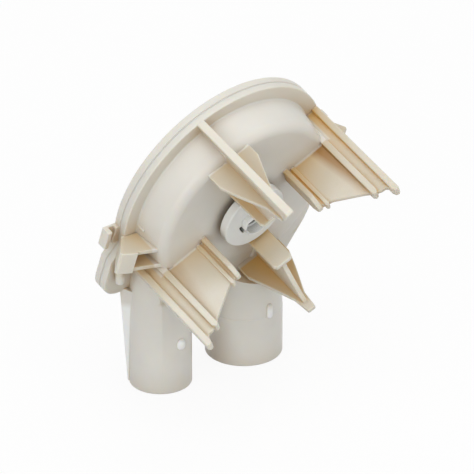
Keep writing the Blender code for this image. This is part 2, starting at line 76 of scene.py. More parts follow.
# Sizes in millimetres, in the pump frame: x to the right, u up the face and w along the axis to the motor.
# The pieces' rounded plates sink into the face by different depths, so that no two faces share a plane.
GAP = 0.3
WALL = 2.5
WEB = 2.0
WEB_FOOT = 5.3
PLATE = 2.2
RIB = 4.8
FLANGE_R = 49.3
FLANGE_W = 6.5
SEAM_W = 3.3
RIM_LOW = SEAM_W + GAP / 2
COVER_TOP = SEAM_W - GAP / 2
WALL_ROOT_R = 43.1
FACE_W = 20.93
HUB_W = 26.9
HUB_R = 14.5
STEM_R = 7.0
STEM_END = 1.9
CHAMBER_TOP = FACE_W - WALL
CHAMBER_R = 40.3
CHAMBER_FLOOR = 1.3
LOW_ROOF = CHAMBER_TOP - 0.4
BOSS_R = 15.1
BOSS_END = 6.6
BEARING_BORE = 9.3
SEAL_SEAT = 11.4
SEAL_BORE = 12.9
PORT_WALL = 2.3
PORT_DROP = 75.12
OUTLET_R = 12.7
INLET_R = 15.875
GUIDE_INNER_R = 21.1
WING_INNER_R = 17.0
WING_R = 37.0
SOCKET_DEPTH = 17.0

# (x, w) of each port's axis at its open end, and (radius, distance of the flat) of each D in the hub.
OUTLET = (-25.5, 26.6)
INLET = (17.1, 28.4)
COLLAR_D = (6.8, 4.9)
MOUTH_D = (5.9, 4.0)
SOCKET_D = (4.7, 2.8)

# Directions round the axis in degrees, from x towards u.
GUIDE_ANGLES = (31.5, 212.0)
TALL_ANGLE = 119.5
SHORT_ANGLE = 297.5
FLAT_ANGLE = 121.0

# Distances that take a cutting block past everything.
BESIDE = 70.0
BEYOND = 60.0
BEHIND = -40.0

# Depths of the surface textures in metres, and the near-black painted shade deep in the hub's socket.
GRAIN = 0.00002
FINE_GRAIN = 0.00001
SOCKET_PAINTED_SHADE = (0.01, 0.009, 0.008, 1.0)

# Metres and degrees of the stage: name, place, target and side of each lamp, and the camera's stand.
LAMPS = (
    ("key", (-0.20, -0.30, 1.35), (0.0, 0.0, 0.0), 1.3),
    ("fill", (-1.45, -0.70, 0.20), (0.0, 0.0, -0.02), 1.2),
    ("front", (0.55, -1.60, 0.25), (0.0, 0.0, -0.02), 1.2),
    ("back", (0.9, 1.3, 0.8), (0.0, 0.0, 0.0), 1.2),
)
CAMERA_PLACE = (-0.90018, -1.02677, 0.68385)
CAMERA_AZIMUTH = 40.944
CAMERA_ELEVATION = 26.886
ROOM_LIGHT = 0.68


def to_world(points):
    """Pump-frame points (x, u, w) in millimetres as world points in metres."""
    points = np.asarray(points, dtype=float)
    x, u, w = points[..., 0], points[..., 1], points[..., 2] - HUB_W
    return np.stack([x, -w * COS - u * SIN, -w * SIN + u * COS], axis=-1) * MM


def port_end(port):
    """The middle of a port's open end; both ends lie at the same depth below the origin."""
    x, w = port
    return np.array([x, ((w - HUB_W) * SIN - PORT_DROP) / COS, w])


# Materials: a socket with arithmetic, and one builder for every node.


class Value:
    """A number or colour in a material; arithmetic on it adds Math nodes."""

    def __init__(self, finish, socket):
        self.finish = finish
        self.socket = socket

    def _maths(self, operation, first, second):
        return self.finish.node("ShaderNodeMath", {"operation": operation}, {0: first, 1: second})

    def __add__(self, other):
        return self._maths("ADD", self, other)

    def __sub__(self, other):
        return self._maths("SUBTRACT", self, other)

    def __rsub__(self, other):
        return self._maths("SUBTRACT", other, self)

    def __mul__(self, other):
        return self._maths("MULTIPLY", self, other)

    def __pow__(self, other):
        return self._maths("POWER", self, other)

    def most(self, other):
        """The larger of two values."""
        return self._maths("MAXIMUM", self, other)

    def clamped(self):
        """The value kept between 0 and 1."""
        return self.finish.node("ShaderNodeClamp", {}, {"Value": self})


class Finish:
    """A Principled material whose patterns are worked out on Object coordinates."""

    def __init__(self, name):
        self.material = bpy.data.materials.new(name)
        self.material.use_nodes = True
        self.nodes = self.material.node_tree.nodes
        self.links = self.material.node_tree.links
        self.shader = self.nodes["Principled BSDF"]
        coordinates = self.nodes.new("ShaderNodeTexCoord")
        self.place = Value(self, coordinates.outputs["Object"])
        axes = self.nodes.new("ShaderNodeSeparateXYZ")
        self.links.new(coordinates.outputs["Object"], axes.inputs[0])
        self.x, self.y, self.z = [Value(self, axes.outputs[i]) for i in range(3)]
        self.w = HUB_W * MM - (self.y * COS + self.z * SIN)
        self.u = self.z * COS - self.y * SIN
        self.r = (self.x * self.x + self.u * self.u) ** 0.5

    def feed(self, socket, value):
        """Link a worked-out value to a socket, or set a plain one on it."""
        if isinstance(value, Value):
            self.links.new(value.socket, socket)
        else:
            socket.default_value = value

    def node(self, kind, settings, inputs, output=0):
        """Add one node: its settings first, then the values or links of its sockets."""
        node = self.nodes.new(kind)
        for name, value in settings.items():
            setattr(node, name, value)
        for name, value in inputs.items():
            self.feed(node.inputs[name], value)
        return Value(self, node.outputs[output])

    def noise(self, scale, detail=2.0, roughness=0.5):
        """A cloudy value about 0.5, with scale features in a metre."""
        inputs = {"Vector": self.place, "Scale": scale, "Detail": detail, "Roughness": roughness}
        return self.node("ShaderNodeTexNoise", {}, inputs, "Fac")

    def ramp(self, factor, low, high, start=0.0, end=1.0):
        """A straight run from start to end as factor goes from low to high."""
        inputs = {"Value": factor, "From Min": low, "From Max": high, "To Min": start, "To Max": end}
        return self.node("ShaderNodeMapRange", {"clamp": True}, inputs, "Result")

    def blend(self, factor, first, second):
        """The first colour where factor is 0 and the second where it is 1."""
        return self.node("ShaderNodeMix", {"data_type": "RGBA"}, {0: factor, 6: first, 7: second}, 2)

    def set(self, **values):
        """Set sockets of the shader, with underscores for the spaces in their names."""
        for name, value in values.items():
            self.feed(self.shader.inputs[name.replace("_", " ")], value)

    def relief(self, height, distance, strength):
        """Drive the normal with a height pattern."""
        inputs = {"Height": height, "Distance": distance, "Strength": strength}
        self.set(Normal=self.node("ShaderNodeBump", {}, inputs))


def shade(colour, factor):
    """A colour lighter or darker by a factor, with full alpha."""
    return tuple(min(1.0, c * factor) for c in colour[:3]) + (1.0,)


def moulded_plastic(name, colour, hollow_shade, roughness, glow, grain=GRAIN, dark=(0.0, 0.72), look=None):
    """Injection-moulded plastic: faint flow clouds, fine spark texture, and painted shade: hollows take a darker
    hollow colour where ambient occlusion finds little open sky.

    dark gives the share of open sky at which a hollow is wholly painted in the shade colour, and at which it isn't
    painted at all.
    look holds the colours of thin walls, for a piece that has them.
    """
    finish = Finish(name)
    flow = finish.noise(420.0, 2.0)
    sky = finish.node("ShaderNodeAmbientOcclusion", {"samples": 8}, {"Distance": 0.022}, "AO")
    base = finish.blend(finish.ramp(finish.noise(55.0, 3.0), 0.35, 0.65), shade(colour, 0.975), shade(colour, 1.02))
    # Painted shade: hollows take the darker hollow colour by ambient occlusion.
    base = finish.blend(finish.ramp(sky, dark[0], dark[1], 1.0, 0.0), base, hollow_shade)
    if look is not None:
        base = thin_walls(finish, base, sky, look)
    finish.set(Base_Color=base, Roughness=finish.ramp(flow, 0.3, 0.7, roughness - 0.05, roughness + 0.06))
    finish.set(IOR=1.49, Subsurface_Weight=glow, Subsurface_Radius=(1.0, 0.62, 0.32), Subsurface_Scale=0.004)
    spark = finish.noise(2600.0, 2.0, 0.6) + finish.noise(300.0, 1.0) * 0.8
    finish.relief(spark, grain, 0.6)
    return finish.material


def off_port(finish, port, radius, near, far):
    """0 on a port's wall and 1 off it: the change lies between near and far, in millimetres from the wall."""
    x, y, _ = to_world(port_end(port))
    distance = ((finish.x - x) ** 2.0 + (finish.y - y) ** 2.0) ** 0.5
    return finish.ramp(distance, (radius + near) * MM, (radius + far) * MM)


def thin_walls(finish, base, sky, look):
    """The housing's colour where it is thin and lets light through: brackets, clip boxes, fin and studs, with light
    and shade painted in.

    The webs are cream where open and darker in the middle, a painted shade, with a painted amber glow in their
    corners, a painted shadow band beside the middle rib of each guide bracket and a painted near-white highlight on
    the fin and studs. Every ramp below is in metres.
    """
    x, z, u, w, r = finish.x, finish.z, finish.u, finish.w, finish.r
    # Painted shade: the right side counts as less open, so its thin walls are painted darker.
    shaded = sky - finish.ramp(x, 0.010, 0.020, 0.0, 0.08)
    # Painted shade: cream where the wall is open, and the darker web colour where ambient occlusion finds it
    # enclosed.
    thin = finish.blend(finish.ramp(shaded, 0.82, 1.02, 1.0, 0.0), look.cream, look.web)
    # Painted glow: the deepest corners turn amber, standing for light trapped in the thin plastic.
    painted_glow_mask = finish.ramp(shaded, 0.22, 0.74, 1.0, 0.0) * finish.ramp(x, -0.012, -0.004, 0.6, 1.0)
    thin = finish.blend(painted_glow_mask, thin, look.painted_amber_glow)

    # Painted shadow: a band on each guide web beside its middle rib, widest at the root, as if the rib cast it.
    rib_shadow_band = finish.ramp(r - w * 0.13, 0.0300, 0.0335) * finish.ramp(r, 0.0395, 0.0397, 1.0, 0.0)
    on_guide = finish.ramp(x * u, 0.00015, 0.00025) * finish.ramp(x, -0.001, 0.001, 0.3, 1.0)
    fading = finish.ramp(w, 0.0215, 0.0520, 1.0, 0.35)
    thin = finish.blend(rib_shadow_band * on_guide * fading, thin, look.painted_rib_shadow)

    # The brackets beyond the face and the rim take the thin colours, so the rim's groove gets their painted shade and
    # glow.
    beyond_face = finish.ramp(w, (FACE_W + 0.02) * MM, 0.0217) * finish.ramp(u, -0.0400, -0.0385)
    proud = finish.ramp(w, 0.0066, 0.0074)
    above_outlet = finish.ramp(u, -0.0290, -0.0270)
    on_rim = finish.ramp(r, 0.0432, 0.0440) * ((1.0 - proud) * 0.35 + proud * above_outlet)
    base = finish.blend(beyond_face.most(on_rim), base, thin)

    off_outlet = off_port(finish, OUTLET, OUTLET_R, 0.150, 0.500) * finish.ramp(x, -0.004, -0.006)
    off_inlet = off_port(finish, INLET, INLET_R, 0.125, 0.425) * finish.ramp(x, -0.006, -0.004)
    # Painted highlight: the outlet fin and the studs on both ports are painted near white.
    fin_and_stud_highlight = off_outlet * finish.ramp(z, -0.0370, -0.0400)
    inlet_stud_highlight = off_inlet * finish.ramp(z, -0.0490, -0.0510)
    return finish.blend(fin_and_stud_highlight.most(inlet_stud_highlight), base, look.pale)


def metal(name, colour, roughness, scale):
    """Plain metal with fine scratches in its gloss."""
    finish = Finish(name)
    marks = finish.noise(scale, 4.0, 0.7)
    base = finish.blend(finish.ramp(marks, 0.35, 0.7), shade(colour, 0.9), shade(colour, 1.05))
    finish.set(Base_Color=base, Metallic=1.0)
    finish.set(Roughness=finish.ramp(marks, 0.3, 0.7, roughness - 0.08, roughness + 0.12))
    finish.relief(marks, FINE_GRAIN, 0.5)
    return finish.material


def rubber(name, colour):
    """Matt moulded rubber with a dusty bloom."""
    finish = Finish(name)
    bloom = finish.noise(900.0, 3.0, 0.6)
    base = finish.blend(finish.ramp(bloom, 0.4, 0.7), colour, shade(colour, 1.9))
    finish.set(Base_Color=base, Roughness=finish.ramp(bloom, 0.3, 0.7, 0.6, 0.82))
    finish.relief(bloom, GRAIN, 0.6)
    return finish.material


def dress(node, material):
    """Give a CAD node its finish in place of the plain one."""
    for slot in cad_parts[node].material_slots:
        slot.material = material


# Properties.


def colour_property(name, description, rgb):
    """A colour that the panel shows, with full alpha."""
    return FloatVectorProperty(name=name, description=description, subtype="COLOR", size=4, min=0.0, max=1.0,
                               default=rgb + (1.0,))


class PumpColours(bpy.types.PropertyGroup):
    """Colours and gloss of the pump's pieces."""

    ivory: colour_property("Ivory", "Housing plastic", (0.77, 0.745, 0.685))
    cream: colour_property("Cream", "Housing plastic where it is thin", (0.80, 0.765, 0.675))
    # Painted shade: this colour darkens the middle of the thin webs.
    web: colour_property("Web", "Housing plastic in the middle of its thin webs", (0.62, 0.555, 0.43))
    # Painted highlight on the outlet fin and the port studs.
    pale: colour_property("Pale", "Fin beside the outlet and studs on the ports", (0.94, 0.935, 0.91))
    # Painted shade: the colour laid into hollows and corners by ambient occlusion.
    hollow_shade: colour_property("Warm Hollow", "Housing plastic where light is trapped in a corner", (0.54, 0.43, 0.30))
    # Painted glow: light trapped in thin corners.
    painted_amber_glow: colour_property("Amber Hollow", "Thin housing plastic where light is trapped", (0.70, 0.44, 0.14))
    # Painted shadow: the band cast by each guide bracket's middle rib.
    painted_rib_shadow: colour_property("Honey", "Guide webs beside their middle rib", (0.38, 0.19, 0.045))
    grey: colour_property("Grey", "Drive hub plastic", (0.83, 0.835, 0.805))
    white: colour_property("White", "Impeller and washer plastic", (0.76, 0.755, 0.72))
    bronze: colour_property("Bronze", "Sleeve bearing", (0.50, 0.33, 0.17))
    steel: colour_property("Steel", "Seal case and garter spring", (0.60, 0.60, 0.61))
    rubber: colour_property("Rubber", "Seal lip", (0.022, 0.022, 0.022))
    roughness: FloatProperty(name="Roughness", description="Roughness of the housing plastic", default=0.38,
                             min=0.05, max=1.0)
    glow: FloatProperty(name="Glow", description="How much light passes through the plastic's skin", default=0.30,
                        min=0.0, max=1.0)


class PumpStage(bpy.types.PropertyGroup):
    """Floor, lamps and camera."""

    floor: colour_property("Floor", "Floor and backdrop, as it lights the pump", (0.52, 0.52, 0.52))
    key: FloatProperty(name="Key", description="Power of the large lamp above", default=5.8, min=0.0, unit="POWER")
    fill: FloatProperty(name="Fill", description="Power of the lamp left of the camera", default=8.6, min=0.0,
                        unit="POWER")
    front: FloatProperty(name="Front", description="Power of the lamp in front", default=3.0, min=0.0, unit="POWER")
    back: FloatProperty(name="Back", description="Power of the lamp behind the pump", default=5.0, min=0.0,
                        unit="POWER")
    lens: FloatProperty(name="Lens", description="Focal length of the camera", default=294.93, min=20.0,
                        unit="CAMERA")


# Shapes: plates, turned forms and their unions, all in the pump frame (x, u, w) in millimetres.


def arc(cx, cy, radius, start, end, steps):
    """Points on a circular arc: centre plus radius times (cos a, sin a), with a evenly spaced in degrees."""
    angle = np.radians(np.linspace(start, end, steps + 1))
    return np.stack([cx + radius * np.cos(angle), cy + radius * np.sin(angle)], axis=-1)


def soft_corners(outline, radius, steps=4):
    """A closed outline with each corner turned into an arc.

    The arc touches both sides at radius / tan(half the corner's angle), no further than 0.45 of a side,
    and its points swing from one touching point to the other about the arc's centre.
    """
    corner = np.asarray(outline, dtype=float)
    back = np.roll(corner, 1, axis=0) - corner
    on = np.roll(corner, -1, axis=0) - corner
    back_length = np.linalg.norm(back, axis=1, keepdims=True)
    on_length = np.linalg.norm(on, axis=1, keepdims=True)
    back, on = back / back_length, on / on_length
    half = np.arccos(np.clip((back * on).sum(axis=1, keepdims=True), -1.0, 1.0)) / 2.0
    half = np.clip(half, 0.05, math.pi / 2.0 - 0.002)
    reach = np.minimum(radius / np.tan(half), 0.45 * np.minimum(back_length, on_length))
    middle = back + on
    middle = middle / np.maximum(np.linalg.norm(middle, axis=1, keepdims=True), 1e-9)
    centre = corner + middle * reach / np.cos(half)
    first = corner + back * reach - centre
    last = corner + on * reach - centre
    swing = math.pi - 2.0 * half
    t = np.linspace(0.0, 1.0, steps + 1)[None, :, None]
    swing = swing[:, None]
    points = (np.sin((1.0 - t) * swing) * first[:, None] + np.sin(t * swing) * last[:, None]) / np.sin(swing)
    return (centre[:, None] + points).reshape(-1, 2)


def move_in(outline, distance):
    """The outline moved inwards: each point goes along the mitre of its two sides' normals."""
    side = np.roll(outline, -1, axis=0) - outline
    side = side / np.maximum(np.linalg.norm(side, axis=1, keepdims=True), 1e-9)
    normal = np.stack([-side[:, 1], side[:, 0]], axis=-1)
    before = np.roll(normal, 1, axis=0)
    mitre = (normal + before) / np.maximum(1.0 + (normal * before).sum(axis=1, keepdims=True), 0.3)
    return outline + mitre * distance


def tightest(outline):
    """The smallest radius that an outline turns in: half the shorter side over the sine of half the turn."""
    on = np.roll(outline, -1, axis=0) - outline
    length = np.linalg.norm(on, axis=1)
    back, before = np.roll(on, 1, axis=0), np.roll(length, 1)
    turn = np.abs(np.arctan2(back[:, 0] * on[:, 1] - back[:, 1] * on[:, 0], (back * on).sum(axis=1)))
    radius = np.minimum(length, before) / (2.0 * np.sin(np.maximum(turn, 0.02) / 2.0))
    return radius[turn > 0.03].min()


def link_mesh(name, points, faces):
    """An object of its own mesh, linked to the scene."""
    mesh = bpy.data.meshes.new(name)
    mesh.from_pydata(points.tolist(), [], faces)
    mesh.update()
    obj = bpy.data.objects.new(name, mesh)
    bpy.context.scene.collection.objects.link(obj)
    return obj


def new_piece(name, points, faces):
    """An object with its points, given in the pump frame in millimetres, put in place in world metres."""
    return link_mesh(name, to_world(points), faces)


def outwards(mesh):
    """Turn a closed mesh's faces to point out."""
    bm = bmesh.new()
    bm.from_mesh(mesh)
    bmesh.ops.recalc_face_normals(bm, faces=bm.faces)
    bm.to_mesh(mesh)
    bm.free()


def plate(name, outline, thickness, place, edge=0.5, corner=0.6, steps=3):
    """A flat plate with rounded edges.

    Ring k of the outline lies at an inset of edge * (1 - sin a) and edge * (1 - cos a) in from the flat
    face, with a from 0 to 90 degrees, on both faces. edge is held below the outline's tightest turn, so that
    no ring crosses itself. place is (origin, first axis, second axis, normal).
    """
    outline = np.asarray(outline, dtype=float)
    after = np.roll(outline, -1, axis=0)
    if (outline[:, 0] * after[:, 1] - after[:, 0] * outline[:, 1]).sum() < 0.0:
        outline = outline[::-1]
    if corner > 0.0:
        outline = soft_corners(outline, corner)
    edge = min(edge, 0.48 * thickness, 0.85 * tightest(outline))
    a = np.linspace(0.0, math.pi / 2.0, steps + 1) if edge > 0.0 else np.array([math.pi / 2.0])
    inset = edge * (1.0 - np.sin(a))
    depth = edge * (1.0 - np.cos(a))
    insets = np.concatenate([inset, inset[::-1]])
    heights = np.concatenate([depth - thickness / 2.0, (thickness / 2.0 - depth)[::-1]])
    rings = np.stack([move_in(outline, d) for d in insets])
    count = len(outline)
    origin, first, second, normal = [np.asarray(v, dtype=float) for v in place]
    points = origin + rings[..., :1] * first + rings[..., 1:] * second + heights[:, None, None] * normal
    index = np.arange(len(insets) * count).reshape(len(insets), count)
    low, high = index[:-1], index[1:]
    quads = np.stack([low, np.roll(low, -1, axis=1), np.roll(high, -1, axis=1), high], axis=-1).reshape(-1, 4)
    faces = quads.tolist() + [index[0, ::-1].tolist(), index[-1].tolist()]
    if np.dot(np.cross(first, second), normal) < 0.0:
        faces = [face[::-1] for face in faces]
    return new_piece(name, points.reshape(-1, 3), faces)


def slab(name, outline, low, high, edge=0.5, corner=0.6):
    """A plate across the pump axis between two heights."""
    place = ((0.0, 0.0, (low + high) / 2.0), (1, 0, 0), (0, 1, 0), (0, 0, 1))
    return plate(name, outline, high - low, place, edge, corner)


def block(name, outline, low, high):
    """A slab with square edges."""
    return slab(name, outline, low, high, 0.0, 0.0)


def cross_plate(name, outline, low, high, edge=0.4, corner=0.5):
    """A plate of (x, w) points between two levels of u."""
    place = ((0.0, (low + high) / 2.0, 0.0), (1, 0, 0), (0, 0, 1), (0, 1, 0))
    return plate(name, outline, high - low, place, edge, corner)


def radial_plate(name, outline, thickness, angle, edge=0.5, corner=0.6):
    """A plate of (r, w) points in the radial plane at an angle."""
    c, s = math.cos(math.radians(angle)), math.sin(math.radians(angle))
    return plate(name, outline, thickness, ((0, 0, 0), (c, s, 0), (0, 0, 1), (s, -c, 0)), edge, corner)


def tangent_plate(name, outline, radius, thickness, angle, edge=0.5, corner=0.6):
    """A plate of (sideways, w) points that faces outwards at a radius."""
    c, s = math.cos(math.radians(angle)), math.sin(math.radians(angle))
    place = ((radius * c, radius * s, 0.0), (-s, c, 0), (0, 0, 1), (c, s, 0))
    return plate(name, outline, thickness, place, edge, corner)


def turned(name, profile, steps=160, place=((0, 0, 0), (1, 0, 0), (0, 1, 0), (0, 0, 1))):
    """A solid of revolution: point (r, h) goes to origin + h * axis + r * (cos t * first + sin t * second).

    A profile that starts and ends on the axis is closed there with a fan, and any other is a ring.
    """
    profile = np.asarray(profile, dtype=float)
    origin, first, second, axis = [np.asarray(v, dtype=float) for v in place]
    poles = profile[0, 0] < 1e-9
    body = profile[1:-1] if poles else profile
    t = np.linspace(0.0, 2.0 * math.pi, steps, endpoint=False)
    around = np.cos(t)[:, None] * first + np.sin(t)[:, None] * second
    points = origin + body[None, :, 1:] * axis + body[None, :, :1] * around[:, None, :]
    columns = len(body)
    index = np.arange(steps * columns).reshape(steps, columns)
    after = np.roll(index, -1, axis=0)
    if poles:
        quads = np.stack([index[:, :-1], index[:, 1:], after[:, 1:], after[:, :-1]], axis=-1)
    else:
        quads = np.stack([index, np.roll(index, -1, axis=1), np.roll(after, -1, axis=1), after], axis=-1)
    faces = quads.reshape(-1, 4).tolist()
    points = points.reshape(-1, 3)
    if poles:
        start, end = len(points), len(points) + 1
        points = np.concatenate([points, origin + profile[:1, 1:] * axis, origin + profile[-1:, 1:] * axis])
        faces += np.stack([index[:, 0], after[:, 0], np.full(steps, start)], axis=-1).tolist()
        faces += np.stack([after[:, -1], index[:, -1], np.full(steps, end)], axis=-1).tolist()
    obj = new_piece(name, points, faces)
    outwards(obj.data)
    return obj


def grid_object(name, points, closed=False):
    """A smooth mesh on a grid of points, which may close on itself both ways."""
    rows, columns = points.shape[:2]
    index = np.arange(rows * columns).reshape(rows, columns)
    if closed:
        index = np.pad(index, ((0, 1), (0, 1)), mode="wrap")
    quads = np.stack([index[:-1, :-1], index[1:, :-1], index[1:, 1:], index[:-1, 1:]], axis=-1)
    obj = link_mesh(name, points.reshape(-1, 3), quads.reshape(-1, 4).tolist())
    obj.data.shade_smooth()
    return obj


def swept_sheet(name, half_width, profile):
    """A sheet swept sideways: point (a, b) lies at x = a times half_width, on the (y, z) profile at b."""
    across = np.linspace(-half_width, half_width, 9)
    points = np.empty((len(across), len(profile), 3))
    points[..., 0] = across[:, None]
    points[..., 1:] = profile
    return grid_object(name, points)


def combine(base, others, operation):
    """Join solids to the base, or cut them from it, and use them up."""
    for other in others:
        modifier = base.modifiers.new(operation.lower(), "BOOLEAN")
        modifier.operation = operation
        modifier.solver = "MANIFOLD"
        modifier.object = other
    depsgraph = bpy.context.evaluated_depsgraph_get()
    mesh = bpy.data.meshes.new_from_object(base.evaluated_get(depsgraph))
    base.modifiers.clear()
    mesh.name = base.data.name
    base.data = mesh
    for other in others:
        bpy.data.objects.remove(other)
    return base


def smooth(obj, angle=35.0):
    """Merge stray points, shade round faces smooth and let large flat faces lead the normals."""
    bm = bmesh.new()
    bm.from_mesh(obj.data)
    bmesh.ops.remove_doubles(bm, verts=bm.verts, dist=0.000002)
    bmesh.ops.dissolve_degenerate(bm, edges=bm.edges, dist=0.000002)
    bm.to_mesh(obj.data)
    bm.free()
    obj.data.shade_smooth()
    obj.data.set_sharp_from_angle(angle=math.radians(angle))
    weighted = obj.modifiers.new("flat_faces", "WEIGHTED_NORMAL")
    weighted.keep_sharp = True
    weighted.weight = 80
    return obj


# Pieces.


def rim_outline():
    """The rim along the axis: a circle of 49.3 mm from -121 to 196 degrees, then a corner with an arc of 9 mm."""
    corner = arc(-42.6, -33.0, 9.0, 180.0, 270.0, 14)
    return np.concatenate([arc(0.0, 0.0, FLANGE_R, -121.0, 196.0, 200), [(-51.6, -22.0)], corner])


def rectangle(low, high):
    return [(low[0], low[1]), (high[0], low[1]), (high[0], high[1]), (low[0], high[1])]


def up_port(port, forward=0.0):
    """Place for a solid turned about a port's axis, moved to the front."""
    first, front, up = np.array([1.0, 0.0, 0.0]), np.array([0.0, SIN, COS]), np.array([0.0, COS, -SIN])
    return port_end(port) + front * forward, first, front, up


def pill(name, start, end, radius, steps=32):
    """A rod with round ends: radius * cos a out and radius * sin a along, past each end."""
    start, end = np.asarray(start, dtype=float), np.asarray(end, dtype=float)
    length = np.linalg.norm(end - start)
    axis = (end - start) / length
    first = np.cross(axis, (0.0, 0.0, 1.0) if abs(axis[2]) < 0.8 else (1.0, 0.0, 0.0))
    first = first / np.linalg.norm(first)
    profile = np.concatenate([arc(0.0, 0.0, radius, -90.0, 0.0, 7), arc(0.0, length, radius, 0.0, 90.0, 7)])
    profile[[0, -1], 0] = 0.0
    return turned(name, profile, steps, (start, first, np.cross(axis, first), axis))


def web_outline(kind):
    """The side view of a bracket web as (r, w) points."""
    low = FACE_W - 1.5
    if kind == "guide":
        return [(GUIDE_INNER_R, low), (GUIDE_INNER_R, 42.0), (26.7, 43.4), (37.6, 50.2), (40.6, 52.6), (43.2, 53.8),
                (45.2, 54.0), (48.6, 57.6), (48.6, WEB_FOOT), (41.0, WEB_FOOT), (38.0, low)]
    if kind == "tall":
        return [(WING_INNER_R, low), (WING_INNER_R, 41.4), (20.0, 42.4), (21.6, 43.6), (26.9, 46.2), (28.2, 48.4),
                (31.0, 49.8), (35.6, 53.8), (36.8, 56.4), (41.0, 58.4), (48.7, 61.4), (48.7, WEB_FOOT),
                (41.0, WEB_FOOT), (38.0, low)]
    return [(WING_INNER_R, low), (WING_INNER_R, 41.4), (20.0, 41.8), (32.4, 48.6), (36.2, 51.8), (38.4, 55.6),
            (38.4, 16.6), (35.0, 15.0), (30.0, low)]


def side_plate(name, outline, thickness):
    """A plate of (u, w) points across the middle of x, with square edges."""
    return plate(name, outline, thickness, ((0, 0, 0), (0, 1, 0), (0, 0, 1), (1, 0, 0)), 0.0, 0.0)


def root_fillet(name, start, end, toward, radius=1.0):
    """A concave strip in the corner between a web and the face: a quarter arc of the radius carried along a line.

    Point k of its section lies at radius * (1 - sin a, 1 - cos a) from the corner, and the strip runs 0.5 mm
    into both walls.
    """
    start, end = np.asarray(start, dtype=float), np.asarray(end, dtype=float)
    along = (end - start) / np.linalg.norm(end - start)
    out = np.array([0.0, 0.0, 1.0])
    toward = np.asarray(toward, dtype=float)
    a = np.linspace(0.0, math.pi / 2.0, 6)
    section = np.stack([radius * (1.0 - np.sin(a)), radius * (1.0 - np.cos(a))], axis=-1)
    section = np.concatenate([[(-0.5, -0.5), (radius, -0.5)], section, [(-0.5, radius)]])
    rows = [p + section[:, :1] * toward + section[:, 1:] * out for p in (start, end)]
    count = len(section)
    faces = [[i, (i + 1) % count, count + (i + 1) % count, count + i] for i in range(count)]
    faces += [list(range(count))[::-1], list(range(count, 2 * count))]
    obj = new_piece(name, np.concatenate(rows), faces)
    outwards(obj.data)
    return obj


def web_fillets(angle, inner, outer):
    """The two root fillets of a web, one on each side, along the face from one radius to another."""
    c, s = math.cos(math.radians(angle)), math.sin(math.radians(angle))
    pieces = []
    for side in (-1.0, 1.0):
        across = np.array([-s, c, 0.0]) * side
        start = np.array([inner * c, inner * s, FACE_W]) + across * WEB / 2
        end = np.array([outer * c, outer * s, FACE_W]) + across * WEB / 2
        pieces.append(root_fillet("root_%d" % side, start, end, across))
    return pieces


def guide_bracket(angle):
    """The plates of a guide bracket: web, outer rib, middle rib, nub rib and inner plate."""
    outer = [(46.3, 5.6), (46.3, 56.6), (47.0, 58.2), (48.3, 58.6), (49.15, 57.8), (49.15, 5.6)]
    middle = [(39.5, 14.0), (39.5, 52.8), (40.4, 53.9), (41.6, 53.6), (42.3, 52.4), (42.3, 14.0)]
    low = FACE_W - 1.3
    nub = [(23.4, low), (23.4, 43.4), (24.0, 44.1), (24.7, 44.0), (25.2, 43.2), (25.2, low)]
    inner = [(-4.2, low), (-4.2, 38.4), (-2.0, 42.0), (-0.9, 42.9), (0.9, 42.9), (2.0, 42.0), (4.2, 38.4),
             (4.2, low)]
    return [
        radial_plate("web", web_outline("guide"), WEB, angle),
        radial_plate("outer_rib", outer, RIB, angle, 0.8),
        radial_plate("middle_rib", middle, RIB, angle, 0.8),
        radial_plate("nub_rib", nub, 3.6, angle, 0.6, 0.4),
        tangent_plate("inner_plate", inner, GUIDE_INNER_R, PLATE, angle, 0.6),
    ] + web_fillets(angle, 25.4, 37.0)


def wing_bracket(angle, kind):
    """The plates of a wing bracket: web, wing and inner plate, and on the tall one an outer rib."""
    wing = [(-10.1, 14.6), (-10.1, 26.6), (-7.6, 33.2), (-5.0, 40.4), (-2.6, 47.4), (-1.8, 55.4),
            (1.8, 55.4), (2.6, 47.4), (5.0, 41.6), (7.6, 35.2), (10.1, 28.0), (10.1, 14.6)]
    low = FACE_W - 1.4
    inner = [(-4.8, low), (-4.6, 40.6), (-3.6, 42.0), (3.4, 42.0), (4.4, 40.6), (4.8, low)]
    plates = [
        radial_plate("web", web_outline(kind), WEB, angle),
        tangent_plate("wing", wing, WING_R, PLATE, angle, 0.6),
        tangent_plate("inner_plate", inner, WING_INNER_R, PLATE, angle, 0.6),
    ]
    if kind == "tall":
        outer = [(46.3, 5.6), (46.3, 60.4), (47.2, 61.8), (48.6, 61.9), (49.2, 61.0), (49.2, 3.9)]
        plates.append(radial_plate("outer_rib", outer, 3.4, angle, 0.8))
        plates += web_fillets(angle, 18.2, 35.6)
    return plates


def clip_box(side, reach, middle, span, nose=13.4):
    """An open box on the wall: a bent front wall, with its nose at a height, between two end plates."""
    bent = [(reach - 8.4, 6.0), (reach - 6.4, 5.9), (reach, nose), (reach - 0.5, nose + 1.2),
            (reach - 7.0, nose + 3.5), (reach - 7.0, nose + 1.5), (reach - 2.4, nose - 0.2)]
    low, high = middle - span / 2.0, middle + span / 2.0
    plates = [cross_plate("front", [(side * x, w) for x, w in bent], low, high)]
    for start in (low + 0.1, high - 2.1):
        root = math.sqrt((WALL_ROOT_R - 3.6) ** 2 - max(abs(start), abs(start + 2.0)) ** 2)
        end = [(root, 7.2), (reach - 7.2, 6.3), (reach - 0.55, nose + 0.3), (reach - 0.95, nose + 0.8),
               (root, nose + 0.8 + 0.25 * (reach - root))]
        plates.append(cross_plate("end", [(side * x, w) for x, w in end], start, start + 2.0))
    return plates


